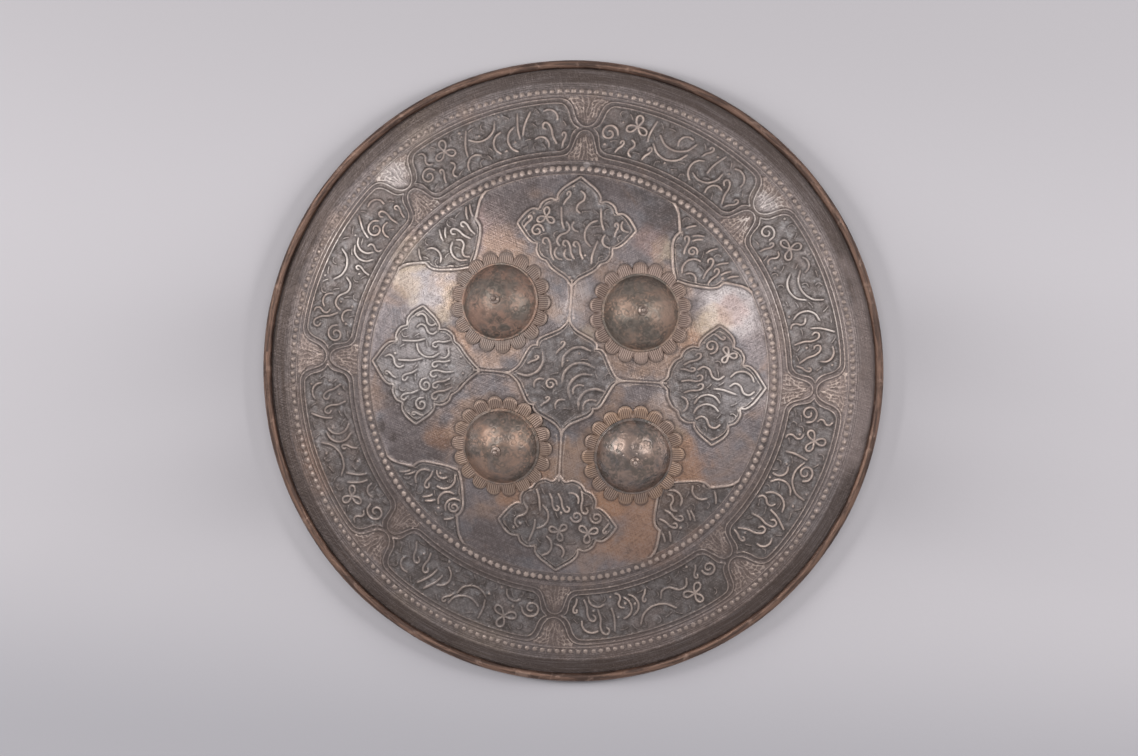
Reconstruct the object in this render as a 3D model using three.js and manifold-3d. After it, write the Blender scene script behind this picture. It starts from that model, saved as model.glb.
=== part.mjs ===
// A round, domed shield of sheet brass, lying face up on its rolled rim.
// Millimetres, +Z up. The origin is on the ground under the middle of the shield,
// and +Y points to the shield's top.
import * as THREE from "three";
import { mergeVertices } from "three/addons/utils/BufferGeometryUtils.js";
import Module from "manifold-3d";

const wasm = await Module();
wasm.setup();

const degrees = Math.PI / 180;

// The shell: a spherical field, a flatter band around it, and a foot that curls over into the rim.
const outerRadius = 220;
const sheet = 1.5;
const domeRadius = 340;
const fieldRadius = 150;
const footWidth = 3.5;
const footSlope = Math.tan(6 * degrees);
const shellSegments = 56;

// The rim: the sheet's edge rolled up and inwards over the face, stopping just short of it.
const rollRadius = 3;
const rollStart = -90 * degrees;
const rollEnd = 190 * degrees;

// Low mouldings that bound the band of ornament, one on each side of it.
const mouldingRadii = [144, 198.6];
const mouldingWidth = 6;
const mouldingHeight = 0.7;

// The bosses: bearing is clockwise from +Y, and reach is the distance from the shield's axis.
const bosses = [
  { place: "upper_left", bearing: 314.7, reach: 68.8, petals: 17 },
  { place: "upper_right", bearing: 45.9, reach: 68.1, petals: 18 },
  { place: "lower_right", bearing: 135.9, reach: 72.3, petals: 18 },
  { place: "lower_left", bearing: 218.7, reach: 66.3, petals: 18 },
];
const gap = 0.3;
const rosetteRadius = 35.8;
const rosetteThickness = 1;
const rosetteInnerRing = 18;
const petalSteps = 4;
const bossRadius = 27.2;
const bossLipWidth = 1.2;
const bossLipHeight = 0.8;
const bossRise = 15;
const bossThickness = 1.2;
const bossSegments = 20;

// The rivets: a turned finial on the face, a shank, and a hammered head on the back.
const shankRadius = 2;
const holeRadius = shankRadius + gap;
const collarRadius = 3.4;
const collarHeight = 1.1;
const neckRadius = 1.5;
const neckHeight = 0.7;
const ballRadius = 2;
const backHeadRadius = 5.5;
const backHeadHeight = 2.2;
const rivetSegments = 12;

const rollCentre = outerRadius - rollRadius;
const footInner = rollCentre - footWidth;
const fieldSlope = fieldRadius / Math.sqrt(domeRadius ** 2 - fieldRadius ** 2);
const fieldDrop = domeRadius - Math.sqrt(domeRadius ** 2 - fieldRadius ** 2);
const bandWidth = footInner - fieldRadius;
const bandDrop = (bandWidth * (fieldSlope + footSlope)) / 2;
const apexHeight = sheet + bandDrop + fieldDrop;
const bossSphere = ((bossRadius - bossLipWidth) ** 2 + bossRise ** 2) / (2 * bossRise);

const brass = {
  shell: { color: 0x6f6462, roughness: 0.42, metalness: 0.9 },
  rosette: { color: 0x8f7568, roughness: 0.5, metalness: 0.85 },
  boss: { color: 0x6a5a50, roughness: 0.4, metalness: 0.85 },
  rivet: { color: 0x94816f, roughness: 0.35, metalness: 0.9 },
};

// Height of the shell's face above the ground, and its fall per millimetre outwards.
function faceAt(radius) {
  if (radius >= footInner) {
    return { height: sheet, slope: 0 };
  }
  if (radius <= fieldRadius) {
    const rise = Math.sqrt(domeRadius ** 2 - radius ** 2);
    return { height: apexHeight - domeRadius + rise, slope: radius / rise };
  }
  const out = radius - fieldRadius;
  const easing = (fieldSlope - footSlope) / bandWidth;
  return {
    height: apexHeight - fieldDrop - fieldSlope * out + (easing * out ** 2) / 2,
    slope: fieldSlope - easing * out,
  };
}

// The point at a radius on the face, moved by a distance along the face's normal.
function facePoint(radius, lift = 0) {
  const { height, slope } = faceAt(radius);
  const length = Math.hypot(slope, 1);
  return new THREE.Vector2(radius + (lift * slope) / length, height + lift / length);
}

function steps(from, to, count) {
  return Array.from({ length: count + 1 }, (_, i) => from + ((to - from) * i) / count);
}

function arc(x, y, radius, from, to, count) {
  return steps(from, to, count).map(
    (angle) => new THREE.Vector2(x + radius * Math.cos(angle), y + radius * Math.sin(angle)),
  );
}

// Turns a profile of (radius, height) points about +Z.
function turned(points, segments) {
  return new THREE.LatheGeometry(points, segments).rotateX(Math.PI / 2);
}

function named(name, geometry, look) {
  const mesh = new THREE.Mesh(geometry, new THREE.MeshStandardMaterial(brass[look]));
  mesh.name = name;
  return mesh;
}

function toManifold(geometry) {
  const bare = geometry.clone();
  bare.deleteAttribute("normal");
  bare.deleteAttribute("uv");
  const merged = mergeVertices(bare, 1e-4);
  return new wasm.Manifold(
    new wasm.Mesh({
      numProp: 3,
      vertProperties: new Float32Array(merged.attributes.position.array),
      triVerts: new Uint32Array(merged.index.array),
    }),
  );
}

function fromManifold(solid) {
  const { vertProperties, triVerts } = solid.getMesh();
  const geometry = new THREE.BufferGeometry();
  geometry.setAttribute("position", new THREE.BufferAttribute(vertProperties, 3));
  geometry.setIndex(new THREE.BufferAttribute(triVerts, 1));
  return geometry;
}

// Stands a group on the face at a boss's place, square to the dome there.
function bossFrame({ bearing, reach }) {
  const upright = new THREE.Group();
  upright.position.z = domeRadius;
  const leaning = new THREE.Group();
  leaning.rotation.x = -Math.asin(reach / domeRadius);
  leaning.add(upright);
  const turnedAbout = new THREE.Group();
  turnedAbout.rotation.z = -bearing * degrees;
  turnedAbout.position.z = apexHeight - domeRadius;
  turnedAbout.add(leaning);
  turnedAbout.updateMatrixWorld(true);
  return { outer: turnedAbout, upright };
}

// The face's height near a boss, measured in that boss's own frame.
function domeDrop(radius) {
  return Math.sqrt(domeRadius ** 2 - radius ** 2) - domeRadius;
}

// The outer face from the middle to the foot, with a flat-topped moulding on each side of the band.
function facePoints() {
  const half = mouldingWidth / 2;
  const [inner, outer] = mouldingRadii;
  const moulding = (radius) => [
    facePoint(radius - half),
    facePoint(radius - half / 2, mouldingHeight),
    facePoint(radius + half / 2, mouldingHeight),
    facePoint(radius + half),
  ];
  return [
    ...steps(0, inner - half, 8).slice(0, -1).map((radius) => facePoint(radius)),
    ...moulding(inner),
    ...steps(inner + half, outer - half, 3).slice(1, -1).map((radius) => facePoint(radius)),
    ...moulding(outer),
    facePoint(footInner),
  ];
}

function shellGeometry() {
  const points = [
    ...facePoints(),
    ...arc(rollCentre, rollRadius, rollRadius - sheet, rollStart, rollEnd, 5),
    ...arc(rollCentre, rollRadius, rollRadius, rollEnd, rollStart, 8),
    new THREE.Vector2(footInner, 0),
    ...steps(footInner - footWidth, 0, 10).map((radius) => facePoint(radius, -sheet)),
  ];
  let solid = toManifold(turned(points.reverse(), shellSegments));
  for (const boss of bosses) {
    const { upright } = bossFrame(boss);
    const drill = turned(
      [
        new THREE.Vector2(0, -3 * sheet),
        new THREE.Vector2(holeRadius, -3 * sheet),
        new THREE.Vector2(holeRadius, sheet),
        new THREE.Vector2(0, sheet),
      ],
      rivetSegments,
    );
    solid = solid.subtract(toManifold(drill.applyMatrix4(upright.matrixWorld)));
  }
  return fromManifold(solid);
}

// Distance from the rosette's axis to its scalloped edge: round petals side by side on a circle.
function petalEdge(angle, petals) {
  const share = Math.PI / petals;
  const centre = rosetteRadius / (1 + Math.sin(share));
  const off = angle - 2 * share * Math.round(angle / (2 * share));
  const side = centre * Math.sin(off);
  return centre * Math.cos(off) + Math.sqrt(Math.max((centre * Math.sin(share)) ** 2 - side ** 2, 0));
}

function rosetteGeometry(petals) {
  const layer = (radius, lift) => new THREE.Vector2(radius, domeDrop(radius) + lift);
  const top = gap + rosetteThickness;
  const profile = [
    layer(holeRadius, gap),
    layer(rosetteInnerRing, gap),
    layer(rosetteRadius, gap),
    layer(rosetteRadius, top),
    layer(holeRadius, top),
    layer(holeRadius, gap),
  ];
  const geometry = turned(profile, petals * petalSteps);
  const place = geometry.attributes.position;
  for (let i = 0; i < place.count; i += 1) {
    const radius = Math.hypot(place.getX(i), place.getY(i));
    if (radius > rosetteRadius - gap) {
      const edge = petalEdge(Math.atan2(place.getY(i), place.getX(i)), petals);
      const lift = place.getZ(i) - domeDrop(radius);
      place.setXYZ(
        i,
        (place.getX(i) * edge) / radius,
        (place.getY(i) * edge) / radius,
        domeDrop(edge) + lift,
      );
    }
  }
  return geometry;
}

// A hollow dome with a narrow lip around its foot and a hole for the rivet on top.
function bossGeometry() {
  const foot = domeDrop(bossRadius) + rosetteThickness + 2 * gap;
  const shoulder = foot + bossLipHeight;
  const centre = shoulder + bossRise - bossSphere;
  const inside = bossSphere - bossThickness;
  const outerFrom = Math.acos((bossRadius - bossLipWidth) / bossSphere);
  const outerTo = Math.acos(holeRadius / bossSphere);
  const innerFrom = Math.acos(holeRadius / inside);
  const innerTo = Math.asin((foot - centre) / inside);
  const profile = [
    new THREE.Vector2(bossRadius, foot),
    new THREE.Vector2(bossRadius, shoulder),
    ...arc(0, centre, bossSphere, outerFrom, outerTo, 5),
    ...arc(0, centre, inside, innerFrom, innerTo, 4),
    new THREE.Vector2(bossRadius, foot),
  ];
  return turned(profile, bossSegments);
}

function rivetGeometry() {
  const shoulder = domeDrop(bossRadius) + rosetteThickness + 2 * gap + bossLipHeight;
  const seat = shoulder + bossRise + gap;
  const neck = seat + collarHeight;
  const ball = neck + neckHeight + ballRadius;
  const back = -sheet - gap;
  const profile = [
    new THREE.Vector2(0, back - backHeadHeight),
    new THREE.Vector2(backHeadRadius * 0.7, back - backHeadHeight * 0.7),
    new THREE.Vector2(backHeadRadius, back),
    new THREE.Vector2(shankRadius, back),
    new THREE.Vector2(shankRadius, seat),
    new THREE.Vector2(collarRadius, seat),
    new THREE.Vector2(collarRadius, neck),
    new THREE.Vector2(neckRadius, neck),
    ...arc(0, ball, ballRadius, -45 * degrees, 90 * degrees, 3),
  ];
  return turned(profile, rivetSegments);
}

const shield = new THREE.Group();
shield.add(named("shell", shellGeometry(), "shell"));
for (const boss of bosses) {
  const { outer, upright } = bossFrame(boss);
  upright.add(named(`rosette_${boss.place}`, rosetteGeometry(boss.petals), "rosette"));
  upright.add(named(`boss_${boss.place}`, bossGeometry(), "boss"));
  upright.add(named(`rivet_${boss.place}`, rivetGeometry(), "rivet"));
  shield.add(outer);
}

export default shield;
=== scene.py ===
import math

import bpy
import numpy as np
from mathutils import Matrix, Vector
from mathutils.geometry import delaunay_2d_cdt
from mathutils.kdtree import KDTree


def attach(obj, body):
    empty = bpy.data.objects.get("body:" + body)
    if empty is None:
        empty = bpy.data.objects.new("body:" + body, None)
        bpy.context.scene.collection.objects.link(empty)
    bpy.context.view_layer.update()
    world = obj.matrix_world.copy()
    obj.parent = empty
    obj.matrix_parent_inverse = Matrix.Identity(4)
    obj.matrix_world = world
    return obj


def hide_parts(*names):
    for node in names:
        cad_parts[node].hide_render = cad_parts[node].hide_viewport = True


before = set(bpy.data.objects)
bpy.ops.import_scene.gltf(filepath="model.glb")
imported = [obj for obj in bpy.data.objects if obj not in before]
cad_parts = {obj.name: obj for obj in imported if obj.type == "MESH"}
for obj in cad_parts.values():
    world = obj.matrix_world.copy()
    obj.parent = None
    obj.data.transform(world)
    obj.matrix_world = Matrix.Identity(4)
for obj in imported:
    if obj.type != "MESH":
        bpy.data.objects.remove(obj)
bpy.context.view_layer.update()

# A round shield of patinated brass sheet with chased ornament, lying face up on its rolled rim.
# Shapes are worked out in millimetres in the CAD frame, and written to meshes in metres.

MM = 0.001
rng = np.random.default_rng(7)

# ---- driving sizes, as in the CAD model
OUTER_RADIUS = 220.0
SHEET = 1.5
DOME_RADIUS = 340.0
FIELD_RADIUS = 150.0
FOOT_WIDTH = 3.5
FOOT_SLOPE = math.tan(math.radians(6))
ROLL_RADIUS = 3.0
ROLL_CENTRE = OUTER_RADIUS - ROLL_RADIUS
FOOT_INNER = ROLL_CENTRE - FOOT_WIDTH
FIELD_SLOPE = FIELD_RADIUS / math.sqrt(DOME_RADIUS**2 - FIELD_RADIUS**2)
FIELD_DROP = DOME_RADIUS - math.sqrt(DOME_RADIUS**2 - FIELD_RADIUS**2)
BAND_WIDTH = FOOT_INNER - FIELD_RADIUS
BAND_DROP = BAND_WIDTH * (FIELD_SLOPE + FOOT_SLOPE) / 2
APEX = SHEET + BAND_DROP + FIELD_DROP

# place, bearing clockwise from +Y, reach from the shield's axis, petals
BOSSES = [
    ("upper_left", 314.7, 68.8, 17),
    ("upper_right", 45.9, 68.1, 18),
    ("lower_right", 135.9, 72.3, 18),
    ("lower_left", 218.7, 66.3, 18),
]
GAP = 0.3
HOLE_RADIUS = 2.3
SHANK_RADIUS = 2.0
ROSETTE_RADIUS = 35.8
ROSETTE_THICKNESS = 1.0
BOSS_RADIUS = 27.2
BOSS_LIP_WIDTH = 1.2
BOSS_LIP_HEIGHT = 0.8
BOSS_RISE = 15.0
BOSS_THICKNESS = 1.2

# ---- where the ornament stands
JUNCTION = 172.6  # circle through the pinched joints between the band's cartouches
PANELS = 8
INNER_BEADS = (144.0, 172, 1.95)  # radius of the row, number of beads, radius of one bead
OUTER_BEADS = (198.6, 237, 1.8)
FRAME_TOP = 20.6
FRAME_TOP_INNER = 17.6
FRAME_FOOT = -20.0
FRAME_FOOT_INNER = -16.6
RAISED_RINGS = (140.0, 148.9, 195.7)
CUT_RINGS = (146.9, 201.9, 203.2)

# half width, height, spacing along the line, and where the section is sampled in half widths
LINES = {
    "leaf": (1.1, 0.95, 1.2, (-1.15, -0.5, 0, 0.5, 1.15)),
    "wire": (0.9, 0.75, 1.2, (-1.15, -0.45, 0.45, 1.15)),
    "frame": (0.75, 0.55, 2.2, (-1.2, 0, 1.2)),
    "bold": (1.45, 0.9, 1.1, (-1.1, -0.55, 0, 0.55, 1.1)),
    "stroke": (0.95, 0.75, 1.0, (-1.15, -0.4, 0.4, 1.15)),
    "small": (0.6, 0.42, 1.0, (-1.2, 0, 1.2)),
    "hair": (0.52, 0.3, 1.7, (0, 2.0)),
}
WEAR = {"hair": 0.68, "small": 0.66, "bold": 0.66, "frame": 0.72}  # how far a crest is rubbed bright
GROOVE_DEPTH = 0.16
GROOVE_REACH = 0.55
PETAL_INNER = 25.5  # where the petals' hatching starts, under the boss
HATCH_PITCH = 1.4
DENTS = 60  # on each boss
ROLL_SEGMENTS = 240
# the loose points of the face: spacing, from and to a radius, and whether in the grounds, off them, or both
FACE_SCATTER = [(2.5, 0, 192, True), (3.1, 139, 205, False), (4.2, 0, 139, False), (3.4, 205, 214, None)]
RELIEF_MASKS = ("crest", "ground", "fur", "groove", "bead")
SHELL_MASKS = RELIEF_MASKS + ("roll", "behind")


def dome_drop(radius):
    return np.sqrt(DOME_RADIUS**2 - radius**2) - DOME_RADIUS


BOSS_FOOT = dome_drop(BOSS_RADIUS) + ROSETTE_THICKNESS + 2 * GAP
BOSS_SHOULDER = BOSS_FOOT + BOSS_LIP_HEIGHT


# ---- the bare sheet
def face_height(radius):
    out = radius - FIELD_RADIUS
    easing = (FIELD_SLOPE - FOOT_SLOPE) / BAND_WIDTH
    ball = APEX - DOME_RADIUS + np.sqrt(np.maximum(DOME_RADIUS**2 - radius**2, 0))
    band = APEX - FIELD_DROP - FIELD_SLOPE * out + easing * out**2 / 2
    return np.where(radius >= FOOT_INNER, SHEET, np.where(radius <= FIELD_RADIUS, ball, band))


def face_slope(radius):
    easing = (FIELD_SLOPE - FOOT_SLOPE) / BAND_WIDTH
    ball = radius / np.sqrt(np.maximum(DOME_RADIUS**2 - radius**2, 1))
    band = FIELD_SLOPE - easing * (radius - FIELD_RADIUS)
    return np.where(radius >= FOOT_INNER, 0, np.where(radius <= FIELD_RADIUS, ball, band))


WAVES = [
    (rng.uniform(0, 2 * math.pi), rng.uniform(0, 2 * math.pi), rng.uniform(22, 75)) for _ in range(14)
]


def hammering(xy):
    """Slow unevenness that the hammer left in the sheet, fading out at the foot."""
    total = np.zeros(len(xy))
    for heading, phase, length in WAVES:
        along = xy[:, 0] * math.cos(heading) + xy[:, 1] * math.sin(heading)
        total += np.sin(2 * math.pi * along / length + phase) * length / 900
    fade = np.clip((FOOT_INNER - np.hypot(xy[:, 0], xy[:, 1])) / 12, 0, 1)
    return total * fade


def lifted(xy, lift):
    """Points of the face at plan places, moved by a lift along the face's normal."""
    radius = np.maximum(np.hypot(xy[:, 0], xy[:, 1]), 1e-9)
    slope = face_slope(radius)
    size = np.hypot(slope, 1)
    out = lift * slope / size / radius
    height = face_height(radius) + lift / size
    return np.column_stack([xy[:, 0] * (1 + out), xy[:, 1] * (1 + out), height])


# ---- lines
def spline(points, closed=False, per_span=10):
    """A smooth line through a few points."""
    p = np.asarray(points, float)
    if len(p) == 2 and not closed:
        return p
    before = p[-1:] if closed else 2 * p[:1] - p[1:2]
    after = p[:2] if closed else 2 * p[-1:] - p[-2:-1]
    q = np.concatenate([before, p, after])
    t = np.linspace(0, 1, per_span, endpoint=False)[:, None]
    spans = []
    for a, b, c, d in zip(q[:-3], q[1:-2], q[2:-1], q[3:], strict=True):
        spans.append(0.5 * (2 * b + (c - a) * t + (2 * a - 5 * b + 4 * c - d) * t**2
                            + (3 * b - a - 3 * c + d) * t**3))
    last = p[:1] if closed else p[-1:]
    return np.concatenate(spans + [last])


def resample(line, spacing):
    step = np.hypot(*np.diff(line, axis=0).T)
    along = np.concatenate([[0], np.cumsum(step)])
    count = max(2, int(round(along[-1] / spacing)) + 1)
    at = np.linspace(0, along[-1], count)
    return np.column_stack([np.interp(at, along, line[:, 0]), np.interp(at, along, line[:, 1])])


def joined(curves):
    """Smooth curves that meet at sharp corners, as one line."""
    return np.concatenate([spline(c)[:-1] for c in curves] + [np.asarray(curves[-1][-1:], float)])


def mirrored(half):
    """The outline whose right half runs from the middle to the middle."""
    return np.concatenate([half, (half * (-1, 1))[::-1][1:]])


def drop(heading, length, width):
    """A teardrop loop that leaves the middle and comes back to it."""
    c, s = math.cos(math.radians(heading)), math.sin(math.radians(heading))
    shape = [(0, 0), (0.5, 0.32), (0.85, 0.3), (1, 0), (0.85, -0.3), (0.5, -0.32), (0, 0)]
    return [(length * a * c - width * b * s, length * a * s + width * b * c) for a, b in shape]


def curl(reach, turns, count):
    """A spiral that winds in to the middle from a reach."""
    share = np.linspace(0, 1, count)
    angles = np.radians(360 * turns * share)
    size = reach * (1 - 0.78 * share)
    return [(r * math.cos(a), r * math.sin(a)) for r, a in zip(size, angles, strict=True)]


class Ornament:
    """Every raised line of the shield in plan, the beads, and the outlines of the grounds."""

    def __init__(self):
        self.lines = {kind: [] for kind in LINES}
        self.grounds = []
        self.spandrels = []
        self.dots = []

    def add(self, kind, line):
        self.lines[kind].append(np.asarray(line, float))

    def add_pair(self, kind, place, half):
        """A line and its mirror image."""
        self.add(kind, place(half))
        self.add(kind, place(half * (-1, 1)))


def polar_place(bearing, radius):
    """Takes (u, v) beside a bearing, u clockwise along a circle and v outwards from it, to plan places."""

    def place(points):
        p = np.asarray(points, float)
        angle = math.radians(bearing) + p[:, 0] / radius
        reach = radius + p[:, 1]
        return np.column_stack([reach * np.sin(angle), reach * np.cos(angle)])

    return place


def axis_place(bearing):
    """Takes (side, out) about a bearing to plan places, side clockwise and out from the middle."""
    s, c = math.sin(math.radians(bearing)), math.cos(math.radians(bearing))

    def place(points):
        p = np.asarray(points, float)
        return np.column_stack([p[:, 1] * s + p[:, 0] * c, p[:, 1] * c - p[:, 0] * s])

    return place


# ---- the band
BELL_UP = [(0, 1.0), (2.6, 1.5), (4.8, 3.0), (6.8, 5.6), (8.2, 9.0), (9.4, 13.0), (11.5, 17.3), (15.5, 20.0)]
BELL_DOWN = [(0, -1.6), (2.6, -2.2), (4.8, -4.0), (6.6, -7.2), (8.2, -11.5), (10.4, -16.2), (14.5, -19.3)]
END_UP = [(5.2, 0), (7.6, 1.2), (9.9, 3.8), (11.4, 7.6), (12.6, 12.0), (15.4, 16.2), (20, 17.5)]
END_DOWN = [(7.8, -1.8), (9.6, -4.8), (10.6, -9.0), (12.4, -13.6), (16.5, -16.2), (21, -16.6)]
HALF_PANEL = math.pi * JUNCTION / PANELS


def bell_width(v, bell):
    """Half the width of a spandrel at a height above or below the joint."""
    p = np.asarray(bell)
    return np.interp(abs(v), np.abs(p[:, 1]), p[:, 0])


def band_frames(ornament):
    for panel in range(PANELS):
        bearing = panel * 360 / PANELS
        at_joint = polar_place(bearing, JUNCTION)
        for bell, level in ((BELL_UP, FRAME_TOP), (BELL_DOWN, FRAME_FOOT)):
            right = list(bell) + [(HALF_PANEL * f, level) for f in (0.32, 0.55, 0.8, 1.0)]
            left = [(-u, v) for u, v in reversed(right)][:-1]
            ornament.add("frame", at_joint(spline(left + right)))
        middle = bearing + 180 / PANELS
        at_middle = polar_place(middle, JUNCTION)
        top = [(HALF_PANEL - u, v) for u, v in END_UP]
        foot = [(HALF_PANEL - u, v) for u, v in END_DOWN]
        run_top = [(HALF_PANEL * f, FRAME_TOP_INNER) for f in (0.45, 0.15, -0.15, -0.45)]
        run_foot = [(HALF_PANEL * f, FRAME_FOOT_INNER) for f in (-0.45, -0.15, 0.15, 0.45)]
        outline = (top + run_top + [(-u, v) for u, v in reversed(top)]
                   + [(-u, v) for u, v in foot] + run_foot + list(reversed(foot)))
        line = spline(outline, closed=True)
        ornament.add("frame", at_middle(line))
        ornament.grounds.append(at_middle(line))
        fill(ornament, at_middle, line, BAND_PASSES, 6)


def spandrel_hair(ornament):
    """Fine wavy lines that spread like fur from the tip of each bell to its base."""
    for panel in range(PANELS):
        place = polar_place(panel * 360 / PANELS, JUNCTION)
        for bell, tip, base in ((BELL_UP, 2.6, 22.2), (BELL_DOWN, -3.4, -22.4)):
            v = np.linspace(tip, base, 15)
            width = bell_width(v, bell) - 1.4
            edge = np.concatenate([np.column_stack([-width, v]), np.column_stack([width, v])[::-1]])
            ornament.spandrels.append(place(edge))
            rising = slice(None, None, 1 if base > 0 else -1)
            for share in np.linspace(-0.84, 0.84, 7):
                start = 0.08 + 0.3 * abs(share) * rng.uniform(0.6, 1.2)
                t = np.linspace(start, 1, 12)
                along = tip + (base - tip) * t
                reach = np.interp(along, v[rising], width[rising])
                wave = 0.55 * np.sin(11 * t + 5 * share + rng.uniform(-0.6, 0.6))
                hair = np.column_stack([share * reach + wave, along])
                ornament.add("hair", place(spline(hair, per_span=4)))
            for share in (0.45, 0.62, 0.78, 0.92):
                level = tip + (base - tip) * share
                reach = bell_width(level, bell) - 2.2
                for side in (-1, 1):
                    hook = [(side * reach * 0.25, level - (base - tip) * 0.10), (side * reach * 0.5, level),
                            (side * reach * 0.95, level - (base - tip) * 0.05)]
                    ornament.add("hair", place(spline(hook, per_span=4)))


# ---- the strokes that fill the grounds
# each shape runs along a unit of length, and none of them is a letter
STROKES = {
    "rod": [(-0.5, -0.02), (-0.1, 0.03), (0.5, -0.03)],
    "bow": [(-0.5, -0.14), (-0.3, 0.1), (0.02, 0.19), (0.32, 0.08), (0.5, -0.16)],
    "wave": [(-0.5, -0.04), (-0.34, 0.14), (-0.1, 0.1), (0.1, -0.12), (0.34, -0.14), (0.5, 0.05)],
    "crook": [(-0.5, -0.04), (-0.16, 0.04), (0.16, 0.02), (0.42, 0.1), (0.46, 0.26), (0.32, 0.33),
              (0.2, 0.24)],
}
SMALL = [("rod", 15, 4.8), ("bow", 60, 4.6), ("rod", -50, 4.2)]
# for each pass over a ground: kind of line, (shape, heading, length), clearance, tries, rows
BAND_PASSES = [
    ("stroke", [("wave", 14, 26), ("bow", 78, 17), ("clover", 0, 20), ("crook", 99, 18), ("bow", 198, 24),
                ("scroll", 0, 19), ("rod", 74, 17)], 2.2, 105, (6.0, -3.0)),
    ("stroke", [("bow", 40, 13), ("crook", 60, 11), ("wave", 96, 12), ("bow", -30, 12)], 2.1, 90,
     (9.0, 0.0, -9.0)),
    ("small", SMALL, 1.7, 70, (13.0, 3.0, -6.0, -12.0)),
]
QUATREFOIL_PASSES = [
    ("stroke", [("rod", 88, 17), ("bow", 85, 17), ("clover", 0, 17), ("wave", 80, 17), ("crook", 96, 15),
                ("scroll", 0, 14)], 2.0, 110, (88.0, 99.0, 110.0, 121.0)),
    ("stroke", [("bow", 10, 10), ("crook", 60, 9), ("bow", 130, 9)], 1.9, 100, (84.0, 93.0, 104.0, 124.0)),
    ("small", SMALL, 1.6, 60, (82.0, 90.0, 98.0, 106.0, 116.0)),
]
LEAF_PASSES = [
    ("stroke", [("bow", 84, 16), ("crook", 100, 14), ("wave", 76, 15), ("bow", 262, 14)], 2.0, 90,
     (114.0, 123.0)),
    ("stroke", [("bow", 15, 9), ("scroll", 0, 11), ("rod", 60, 8)], 1.9, 80, (112.0, 121.0, 131.0)),
    ("small", SMALL, 1.6, 50, (110.0, 118.0, 126.0, 134.0)),
]
CENTRE_PASSES = [
    ("bold", [("wave", 38, 27), ("bow", 44, 25), ("bow", 216, 22)], 2.9, 80, (-14.0, -4.0, 6.0, 16.0)),
    ("stroke", [("scroll", 0, 12), ("bow", 40, 10), ("crook", 30, 10)], 2.3, 60, (-18.0, -6.0, 8.0, 20.0)),
    ("small", SMALL, 1.9, 50, (-22.0, -10.0, 2.0, 12.0, 22.0)),
]
GOLDEN = 0.618  # steps of this share of a width never bunch up
DOT_CLEARANCE = 2.4


def motif(name, size):
    """The lines of one stroke, scroll or clover about its own middle."""
    if name == "clover":
        return [drop(heading, size * 0.42, size * 0.34) for heading in (90, 210, 330)]
    if name == "scroll":
        return [curl(size * 0.34, 1.35, 14)]
    return [[(size * a, size * b) for a, b in STROKES[name]]]


def turned(points, degrees, middle):
    p = np.asarray(points, float)
    c, s = math.cos(math.radians(degrees)), math.sin(math.radians(degrees))
    return np.column_stack([p[:, 0] * c - p[:, 1] * s, p[:, 0] * s + p[:, 1] * c]) + middle


def fill(ornament, place, outline, passes, dots):
    """Rows of separate strokes over a ground, each clear of the outline and of the strokes before it."""
    fence = resample(np.concatenate([outline, outline[:1]]), 2.0)
    taken = fence
    low, high = fence.min(0), fence.max(0)
    for kind, shapes, gap, tries, levels in passes:
        for k in range(tries):
            name, heading, size = shapes[k % len(shapes)]
            turn = heading + rng.uniform(-16, 16)
            across = low[0] + (high[0] - low[0]) * (k * GOLDEN % 1)
            middle = (across, levels[k % len(levels)] + rng.uniform(-1.5, 1.5))
            parts = motif(name, size * rng.uniform(0.85, 1.1))
            lines = [spline(turned(points, turn, middle)) for points in parts]
            samples = np.concatenate([resample(line, 1.2) for line in lines])
            away = np.hypot(*(samples[:, None] - taken[None]).transpose(2, 0, 1))
            if away.min() > gap and inside(samples, fence).all():
                taken = np.concatenate([taken, samples])
                for line in lines:
                    ornament.add(kind, place(line))
    for _ in range(dots * 8):
        spot = rng.uniform(low, high)
        if dots and np.hypot(*(taken - spot).T).min() > DOT_CLEARANCE and inside(spot[None], fence)[0]:
            taken = np.concatenate([taken, spot[None]])
            ornament.dots.append((*place(spot[None])[0], rng.uniform(0.95, 1.3)))
            dots -= 1


# ---- the field
# side and out of the quatrefoils' right half; the foot differs on each
QUATREFOIL_FEET = {0: 66.0, 90: 69.0, 180: 72.0, 270: 63.0}
QUATREFOIL_SIDE = [
    [(0, 138.3), (5.8, 134.3), (11.2, 130.3), (14.7, 125.8), (15.2, 121.4)],
    [(15.2, 121.4), (20.2, 122.0), (25.3, 119.0), (27.2, 114.3)],
    [(27.2, 114.3), (31.8, 114.3), (36.0, 111.5), (39.2, 107.4), (41.5, 103.6)],
    [(41.5, 103.6), (37.8, 98.8), (34.0, 94.3), (29.6, 91.0), (26.1, 90.4)],
    [(26.1, 90.4), (26.3, 85.6), (23.4, 80.8), (18.7, 78.9)],
]
LEAF_SIDE = [
    [(40.8, 134.3), (35.2, 132.9), (29.0, 128.9), (23.3, 124.2)],
    [(23.3, 124.2), (22.9, 119.6), (20.4, 115.6), (15.8, 111.4), (7.8, 105.2), (1.0, 101.2)],
]
DIAMOND_TIPS = (39.3, 38.4, 39.2, 39.6)
DIAMOND_SIDE = [(6.3, 32.3), (12.8, 29.0), (17.8, 26.4), (20.4, 23.6), (20.6, 20.2)]


def quatrefoil(foot):
    last = [(18.7, 78.9), (15.6, 74.6), (9.8, 72.2 - 0.25 * (72 - foot)), (4.2, foot + 1.4), (0.6, foot - 3)]
    half = joined(QUATREFOIL_SIDE + [last])
    return half, mirrored(half)


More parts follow.
